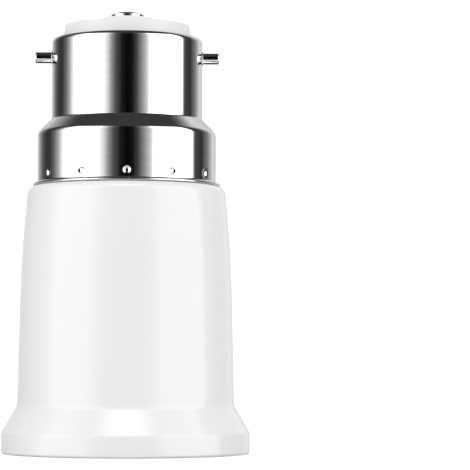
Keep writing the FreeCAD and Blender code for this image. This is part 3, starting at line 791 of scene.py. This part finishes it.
# screw shell

def ease(share):
    """Smooth run from nought to one."""
    held = min(max(share, 0.0), 1.0)
    return held * held * (3 - 2 * held)


def thread_ring(height, wall):
    """Level section of the rolled thread: a circle whose centre winds up a helix."""
    turns = (height - THREAD_START) / THREAD_PITCH
    entry = ease(turns / RUNOUT_TURNS)
    swing = THREAD_HALF_DEPTH * entry * ease((THREAD_TURNS - turns) / RUNOUT_TURNS)
    radius = THREAD_MEAN + wall + (BAND_RADIUS - THREAD_MEAN) * (1 - entry)
    away = THREAD_ANGLES - FULL_TURN * turns
    reach = swing * np.cos(away) + np.sqrt(radius ** 2 - (swing * np.sin(away)) ** 2)
    return ring(reach, height, THREAD_ANGLES)


def cup_points(radius, rounding, floor):
    """Points of the cup above the thread, from its side to its floor in the middle."""
    side = THREAD_MEAN + radius - CUP_RADIUS
    return rounded([(side, THREAD_END), (radius, floor, rounding), (0, floor)])


def make_screw_shell():
    """Rolled shell of even thickness: bead, plain band, thread and a cup whose floor is cut to the tab."""
    angles = THREAD_ANGLES
    rows = np.linspace(THREAD_START, THREAD_END, THREAD_ROWS)
    bead_height = shell_low + BEAD_WIRE
    bead_centre = BEAD_RADIUS - BEAD_WIRE
    bead_end = math.acos((BAND_RADIUS - bead_centre) / BEAD_WIRE)
    bead = [complex(bead_centre, bead_height) + cmath.rect(BEAD_WIRE, -turn)
            for turn in np.linspace(-BEAD_START, bead_end, BEAD_POINTS)]
    inner = cup_points(CUP_RADIUS, CUP_ROUND, TAB_FACE)
    rings = [ring(point.real, point.imag, angles) for point in inner[::-1]]
    rings += [thread_ring(height, 0.0) for height in rows[::-1][1:]]
    rings.append(ring(BAND_RADIUS, THREAD_START - SUPPORT, angles))
    rings += [ring(point.real, point.imag, angles) for point in bead[::-1]]
    rings.append(ring(BAND_RADIUS + SHEET, bead_height + BEAD_WIRE + BEAD_SEAM, angles))
    rings += [thread_ring(height, SHEET) for height in rows[:-1]]
    outer = cup_points(CUP_RADIUS + SHEET, CUP_ROUND + SHEET, tab_back)
    rings += [ring(point.real, point.imag, angles) for point in outer]
    thing = make_object("screw_shell_gold", skin(rings))
    screw = Matrix.Translation((SCREW_OFFSET, 0, 0))
    seat = placed(rod(TAB_SEAT_RADIUS, THREAD_END, TAB_FACE + TAB_SEAT_DEPTH), screw)
    hole = placed(rod(SCREW_RADIUS + SCREW_CLEARANCE, THREAD_END, tab_back + OVERSHOOT), screw)
    opening = prism(opening_outline(), THREAD_END - OVERSHOOT, tab_back + OVERSHOOT)
    carve(thing, [opening, seat, hole])
    return thing


def rod(radius, low, high):
    """Closed round bar about Z."""
    corners = [complex(0, low), complex(radius, low), complex(radius, high), complex(0, high)]
    return turned(corners, EVEN_ANGLES[::2])


def opening_outline():
    """Plan outline of the shell's opening: a circle with a straight side where the tab is left."""
    round_end = OPENING_RADIUS - TAB_CORNER_ROUND
    corner = complex(TAB_EDGE - TAB_CORNER_ROUND, 0)
    corner += 1j * math.sqrt(round_end ** 2 - corner.real ** 2)
    start = cmath.phase(corner)
    turns = np.linspace(start, FULL_TURN - start, OPENING_POINTS)
    circle = [cmath.rect(OPENING_RADIUS, turn) for turn in turns]
    bend = [cmath.rect(TAB_CORNER_ROUND, turn) for turn in np.linspace(0, start, TAB_CORNER_POINTS)[:-1]]
    lower = [(corner + arm).conjugate() for arm in bend[::-1]]
    upper = [corner + arm for arm in bend]
    return [(point.real, point.imag) for point in circle + lower + upper]


# screws

def cross_recess(face):
    """Tapered cross cutter that goes up into a head whose face is at this height."""
    span, slot = RECESS_SPAN, RECESS_HALF_SLOT
    arm = [(span, -slot), (span, slot), (slot, slot)]
    outline = [(x * math.cos(turn) - y * math.sin(turn), x * math.sin(turn) + y * math.cos(turn))
               for turn in (0, QUARTER_TURN, 2 * QUARTER_TURN, 3 * QUARTER_TURN) for x, y in arm]
    return prism(outline, face - RECESS_LEAD, face + RECESS_DEPTH, RECESS_TAPER)


def make_screw(name, offset, turn, head_face):
    """Pan head screw with its head below head_face, offset along X and then turned about Z."""
    face = head_face - SCREW_HEAD_HEIGHT
    outline = rounded([
        (0, face),
        (SCREW_HEAD_RADIUS * SCREW_FACE_SHARE, face, SCREW_HEAD_ROUND),
        (SCREW_HEAD_RADIUS, face + SCREW_HEAD_HEIGHT * SCREW_EDGE_SHARE, SCREW_HEAD_ROUND),
        (SCREW_HEAD_RADIUS, head_face),
        (SCREW_RADIUS, head_face),
        (SCREW_RADIUS, SCREW_TIP - SCREW_POINT),
        (SCREW_RADIUS - SCREW_POINT, SCREW_TIP),
        (0, SCREW_TIP),
    ])
    place = Matrix.Rotation(turn, 4, "Z") @ Matrix.Translation((offset, 0, 0))
    spin = place @ Matrix.Rotation(SCREW_SPIN, 4, "Z")
    thing = make_object(name, placed(turned(outline, EVEN_ANGLES[::2]), place))
    carve(thing, [placed(cross_recess(face), spin)])
    return thing


# insulating base and centre contact

def make_base():
    """Cup that carries the screw shell on its ring, with the boss of the tab's screw."""
    ring_inner = OPENING_RADIUS + BASE_RING_GAP
    ring_outer = CUP_RADIUS - BASE_RING_GAP
    cup = turned(rounded([
        (0, BASE_FLOOR_FACE),
        (ring_inner, BASE_FLOOR_FACE, BASE_RING_ROUND),
        (ring_inner, tab_back),
        (ring_outer, tab_back),
        (ring_outer + BASE_SLOPE, tab_back + BASE_SLOPE),
        (base_radius, BASE_FLOOR_FACE),
        (base_radius, base_seat),
        (0, base_seat),
    ]))
    boss_bore = SCREW_RADIUS + SCREW_CLEARANCE
    boss_foot = BASE_FLOOR_FACE + BOSS_SINK
    boss = turned(rounded([
        (boss_bore, tab_back),
        (BOSS_TOP_RADIUS, tab_back, BOSS_ROUND),
        (BOSS_FOOT_RADIUS, boss_foot),
        (boss_bore, boss_foot),
    ]), EVEN_ANGLES[::2])
    boss = placed(boss, Matrix.Translation((SCREW_OFFSET, 0, 0)))
    return make_object("moulded_base", joined([cup, boss]))


def leaf_line():
    """Middle line of the strip as (y, z), from the foot over the leg to the tip."""
    foot = BASE_FLOOR_FACE - LEAF_THICKNESS / 2
    arm = foot - LEAF_STAND
    return rounded([
        (LEAF_FOOT, foot),
        (LEAF_LEG_OFFSET, foot, LEAF_BEND),
        (LEAF_LEG_OFFSET, arm, LEAF_BEND),
        (-LEAF_TIP, arm - LEAF_RISE),
    ])


def strip_stations(line):
    """The line with more points near both ends, where the plan is round."""
    turns = np.linspace(0, QUARTER_TURN, LEAF_END_POINTS)
    foot_end = [line[0] - (1 - math.cos(turn)) * LEAF_HALF_WIDTH for turn in turns]
    foot_end = [point for point in foot_end if point.real > line[1].real + SUPPORT]
    tip_run = (line[-1] - line[-2]) / abs(line[-1] - line[-2])
    tip_end = [line[-1] - tip_run * (1 - math.cos(turn)) * LEAF_HALF_WIDTH for turn in turns[::-1]]
    return foot_end + line[1:-1] + tip_end


def strip_half_width(reach):
    """Half the strip's width at this place along Y."""
    from_end = min(reach + LEAF_TIP, LEAF_FOOT - reach)
    inside = max(0.0, min(1.0, 1 - from_end / LEAF_HALF_WIDTH))
    return max(LEAF_HALF_WIDTH * math.sqrt(1 - inside ** 2), LEAF_END_HALF_WIDTH)


def make_leaf():
    """Strip of even thickness along its bent middle line, with broken edges and round ends."""
    line = strip_stations(leaf_line())
    half = LEAF_THICKNESS / 2
    shy = half - LEAF_EDGE
    rings = []
    for index, point in enumerate(line):
        before = line[max(index - 1, 0)]
        after = line[min(index + 1, len(line) - 1)]
        along = (after - before) / abs(after - before)
        normal = along * 1j
        width = strip_half_width(point.real)
        inset = min(LEAF_EDGE, width / 2)
        side = [(width - inset, -half), (width, -shy), (width, shy), (width - inset, half)]
        section = side + [(-across, lift) for across, lift in side[::-1]]
        places = [(across, point + normal * lift) for across, lift in section]
        rings.append(np.array([(across, place.real, place.imag) for across, place in places]))
    middle = [rings[0].mean(axis=0, keepdims=True)]
    end = [rings[-1].mean(axis=0, keepdims=True)]
    return make_object("spring_strip", skin(middle + rings + end))


def make_button():
    """Domed rivet on the strip, facing the mouth."""
    run = LEAF_LEG_OFFSET + LEAF_TIP
    arm = BASE_FLOOR_FACE - LEAF_THICKNESS / 2 - LEAF_STAND
    normal = Vector((0, LEAF_RISE, -run)).normalized()
    place = Vector((0, 0, arm - LEAF_RISE * LEAF_LEG_OFFSET / run)) + normal * (LEAF_THICKNESS / 2)
    foot = -LEAF_THICKNESS
    outline = [complex(radius, height) for radius, height in (
        (0, foot - BUTTON_HEAD_HEIGHT),
        (BUTTON_HEAD_RADIUS, foot - BUTTON_HEAD_HEIGHT),
        (BUTTON_HEAD_RADIUS, foot),
        (BUTTON_SHANK_RADIUS, foot),
        (BUTTON_SHANK_RADIUS, 0),
        (BUTTON_RADIUS, 0),
        (BUTTON_RADIUS, BUTTON_RIM),
    )]
    outline += cap_arc(BUTTON_RADIUS, BUTTON_RIM, BUTTON_HEIGHT)
    tilt = Vector((0, 0, 1)).rotation_difference(normal).to_matrix().to_4x4()
    part = placed(turned(outline, EVEN_ANGLES[::2]), Matrix.Translation(place) @ tilt)
    return make_object("contact_rivet", part)


PIECES = [
    (make_housing(), ["housing"], "white_plastic"),
    (make_cap_shell(), ["cap_shell"], "plated_shell"),
    (make_pin("pin_right", 1), ["bayonet_pin_right"], "plated_pin"),
    (make_pin("pin_left", -1), ["bayonet_pin_left"], "plated_pin"),
    (make_plug(), ["cap_insulator"], "insulator_plastic"),
    (make_stud("stud_front", -1), ["cap_contact_front"], "contact_metal"),
    (make_stud("stud_rear", 1), ["cap_contact_rear"], "contact_metal"),
    (make_screw_shell(), ["screw_shell"], "gold_aluminium"),
    (make_screw("tab_screw", SCREW_OFFSET, 0, TAB_FACE + TAB_SEAT_DEPTH), ["shell_screw"], "screw_steel"),
    (make_screw("strip_screw", LEAF_SCREW_OFFSET, QUARTER_TURN, BASE_FLOOR_FACE - LEAF_THICKNESS),
     ["leaf_screw"], "screw_steel"),
    (make_base(), ["contact_base"], "grey_plastic"),
    (make_leaf(), ["contact_leaf"], "leaf_metal"),
    (make_button(), ["contact_button"], "copper"),
]
for thing, nodes, slot in PIECES:
    dress(thing, nodes, MATERIALS[slot])

replaced = {node for _, nodes, _ in PIECES for node in nodes}
for subpart in frame["record"]["subparts"]:
    if subpart["node"] not in replaced:
        for holder in frame["nodes"][subpart["node"]].material_slots:
            holder.material = MATERIALS[subpart["material_slot"]]


# floor, light and camera

FLOOR_RADII = [rim_radius - 0.4, 30.0, 100.0, 400.0, 3000.0]
FLOOR_COLOR = (0.8, 0.8, 0.8)
FLOOR_GLOW = 0.3


def make_floor():
    """Pale disc with a hole under the rim, so that light reaches the socket; clear from below."""
    floor = make_object("floor", skin([ring(radius, 0.0, EVEN_ANGLES) for radius in FLOOR_RADII[::-1]]))
    material = new_material("pale_floor", FLOOR_COLOR, 0, 1.0)
    nodes = material.node_tree.nodes
    links = material.node_tree.links
    shader = nodes["Principled BSDF"]
    shader.inputs["Specular IOR Level"].default_value = 0
    shader.inputs["Emission Color"].default_value = (1, 1, 1, 1)
    path = nodes.new("ShaderNodeLightPath")
    glow = nodes.new("ShaderNodeMath")
    glow.operation = "MULTIPLY"
    glow.inputs[1].default_value = FLOOR_GLOW
    links.new(path.outputs["Is Camera Ray"], glow.inputs[0])
    links.new(glow.outputs["Value"], shader.inputs["Emission Strength"])
    clear = nodes.new("ShaderNodeBsdfTransparent")
    side = nodes.new("ShaderNodeNewGeometry")
    mix = nodes.new("ShaderNodeMixShader")
    links.new(side.outputs["Backfacing"], mix.inputs["Fac"])
    links.new(shader.outputs["BSDF"], mix.inputs[1])
    links.new(clear.outputs["BSDF"], mix.inputs[2])
    links.new(mix.outputs["Shader"], nodes["Material Output"].inputs["Surface"])
    floor.data.materials.append(material)
    floor.visible_glossy = False


# room light on plain surfaces, and how much of it is missing at the right
ROOM_LIGHT = 1.12
SIDE_LIGHT = 0.07

# what shiny surfaces see above and below the ring, by degrees of elevation
STUDIO_CEILING = 0.045
CEILING_ELEVATION = 47
CEILING_SOFTNESS = 22
STUDIO_TABLE = 0.85
TABLE_START = 24
TABLE_END = 54
TABLE_SOFTNESS = 12
TABLE_RETURN = 66
TABLE_RETURN_SOFTNESS = 10
TABLE_BACK = 0.08
TABLE_BACK_SOFTNESS = 0.2

# brightness of the ring round the object as shiny surfaces see it, by degrees from the front to the right
STUDIO_WHITE = 2.5
STUDIO_RING = [
    (-180, 0.06), (-174, 0.10), (-168, 0.75), (-148, 0.27), (-138, 0.10), (-126, 0.035),
    (-117, 0.045), (-108, 0.14), (-99, 0.45), (-91, 1.1), (-84, 2.5), (-40, 2.5), (-35, 1.14), (-30, 0.84),
    (-24, 0.33), (-18, 0.10), (-10, 0.014), (0, 0.001), (8, 0.007), (14, 0.05), (20, 0.23), (26, 0.47),
    (32, 0.85), (37, 2.5), (91, 2.5), (95, 0.60), (98, 0.07), (113, 0.03), (130, 0.25), (147, 0.76),
    (170, 0.60), (177, 0.06),
]


class Sums:
    """Small builder of arithmetic in a node tree."""

    def __init__(self, tree):
        self.tree = tree

    def math(self, operation, *values):
        """Result of one operation on numbers or other results."""
        node = self.tree.nodes.new("ShaderNodeMath")
        node.operation = operation
        for index, value in enumerate(values):
            if isinstance(value, (int, float)):
                node.inputs[index].default_value = value
            else:
                self.tree.links.new(value, node.inputs[index])
        return node.outputs["Value"]

    def border(self, value, place, softness):
        """Nought below the place and one above it, with a soft change."""
        node = self.tree.nodes.new("ShaderNodeMapRange")
        node.interpolation_type = "SMOOTHSTEP"
        node.inputs["From Min"].default_value = place - softness / 2
        node.inputs["From Max"].default_value = place + softness / 2
        self.tree.links.new(value, node.inputs["Value"])
        return node.outputs["Result"]

    def step(self, value, low, high, softness):
        """One between low and high, nought outside, with soft borders."""
        return self.math("SUBTRACT", self.border(value, low, softness), self.border(value, high, softness))

    def ramp(self, value, stops):
        """Straight runs between stops of (degrees from the front, brightness); value goes once round."""
        node = self.tree.nodes.new("ShaderNodeValToRGB")
        node.color_ramp.interpolation = "LINEAR"
        elements = node.color_ramp.elements
        while len(elements) < len(stops):
            elements.new(0.5)
        for index, (degrees, light) in enumerate(stops):
            elements[index].position = degrees / 360 + 0.5
            elements[index].color = (light / STUDIO_WHITE,) * 3 + (1,)
        self.tree.links.new(value, node.inputs["Fac"])
        return node.outputs["Color"]


def make_world():
    """White studio; shiny surfaces see softboxes beside the camera, and dark flags between and behind."""
    world = bpy.data.worlds.new("studio")
    bpy.context.scene.world = world
    world.use_nodes = True
    tree = world.node_tree
    sums = Sums(tree)
    direction = tree.nodes.new("ShaderNodeSeparateXYZ")
    coordinates = tree.nodes.new("ShaderNodeTexCoord")
    tree.links.new(coordinates.outputs["Generated"], direction.inputs["Vector"])
    x, y, z = (direction.outputs[name] for name in "XYZ")
    toward = sums.math("MULTIPLY", y, -1.0)
    turn = sums.math("ADD", sums.math("DIVIDE", sums.math("ARCTAN2", x, toward), FULL_TURN), 0.5)
    elevation = sums.math("DEGREES", sums.math("ARCSINE", z))
    around = sums.math("MULTIPLY", sums.ramp(turn, STUDIO_RING), STUDIO_WHITE)
    above = sums.border(elevation, CEILING_ELEVATION, CEILING_SOFTNESS)
    depth = sums.math("MULTIPLY", elevation, -1.0)
    below = sums.border(depth, TABLE_START, TABLE_SOFTNESS)
    beside = sums.math("SUBTRACT", 1.0, sums.math("MAXIMUM", above, below))
    near_table = sums.step(depth, TABLE_START, TABLE_END, TABLE_SOFTNESS)
    under_table = sums.border(depth, TABLE_RETURN, TABLE_RETURN_SOFTNESS)
    in_front = sums.border(toward, TABLE_BACK, TABLE_BACK_SOFTNESS)
    table = sums.math("MULTIPLY", sums.math("ADD", near_table, under_table), in_front)
    level = sums.math("MULTIPLY", around, beside)
    glossy = sums.math("ADD", level, sums.math("MULTIPLY", above, STUDIO_CEILING))
    glossy = sums.math("ADD", glossy, sums.math("MULTIPLY", table, STUDIO_TABLE))

    path = tree.nodes.new("ShaderNodeLightPath")
    seen = sums.math("SUBTRACT", path.outputs["Is Glossy Ray"], path.outputs["Is Camera Ray"])
    plain = sums.math("SUBTRACT", 1.0, sums.math("MAXIMUM", seen, 0.0))
    shine = sums.math("MULTIPLY", glossy, sums.math("MAXIMUM", seen, 0.0))
    background = tree.nodes["Background"]
    background.inputs["Color"].default_value = (1, 1, 1, 1)
    fill = sums.math("SUBTRACT", ROOM_LIGHT, sums.math("MULTIPLY", x, SIDE_LIGHT))
    plain = sums.math("MULTIPLY", plain, fill)
    tree.links.new(sums.math("ADD", plain, shine), background.inputs["Strength"])


SOFTBOX_DISTANCE = 1.0
FADE_PLACE = 0.28
FADE_SOFTNESS = 0.44


def make_softbox(name, elevation, width, height, radiance, lit):
    """Softbox in front of and above the part that shows only as a gloss on the pieces named in lit."""
    light = bpy.data.lights.new(name, "AREA")
    light.shape = "RECTANGLE"
    light.size = width
    light.size_y = height
    light.energy = radiance * math.pi * width * height
    light.use_nodes = True
    tree = light.node_tree
    sums = Sums(tree)
    place = tree.nodes.new("ShaderNodeNewGeometry")
    axes = tree.nodes.new("ShaderNodeSeparateXYZ")
    tree.links.new(place.outputs["Parametric"], axes.inputs["Vector"])
    across = sums.math("ABSOLUTE", sums.math("SUBTRACT", axes.outputs["X"], 0.5))
    fade = sums.math("SUBTRACT", 1.0, sums.border(across, FADE_PLACE, FADE_SOFTNESS))
    tree.links.new(fade, tree.nodes["Emission"].inputs["Strength"])
    thing = bpy.data.objects.new(name, light)
    rise = math.radians(elevation)
    thing.location = (0, -SOFTBOX_DISTANCE * math.cos(rise), SOFTBOX_DISTANCE * math.sin(rise))
    thing.rotation_euler = (QUARTER_TURN - rise, 0, 0)
    thing.visible_camera = False
    thing.visible_diffuse = False
    bpy.context.scene.collection.objects.link(thing)
    receivers = bpy.data.collections.new(name + "_receivers")
    for piece in lit:
        receivers.objects.link(bpy.data.objects[piece])
    thing.light_linking.receiver_collection = receivers


# the camera stands in front and turns a little to the right, so the part is at the left of the picture
CAMERA_PLACE = (0, -0.350, 0.0145)
CAMERA_VIEW = math.radians(11.232)
CAMERA_TURNS = [math.radians(turn) for turn in (92.85, -0.13, -2.608)]
CAMERA_CLIP_START = 0.01


def make_camera():
    """Long lens in front of the lower half of the part."""
    camera = bpy.data.cameras.new("camera")
    camera.angle = CAMERA_VIEW
    camera.clip_start = CAMERA_CLIP_START
    thing = bpy.data.objects.new("camera", camera)
    thing.location = CAMERA_PLACE
    thing.rotation_euler = CAMERA_TURNS
    bpy.context.scene.collection.objects.link(thing)
    bpy.context.scene.camera = thing


make_floor()
make_world()
make_softbox("housing_gloss", 60, 0.9, 0.34, 4.4, ["moulded_housing"])
make_softbox("contact_gloss", 90, 2.4, 2.0, 1.0, ["stud_front", "stud_rear"])
make_camera()
bpy.context.scene.view_settings.view_transform = "Standard"
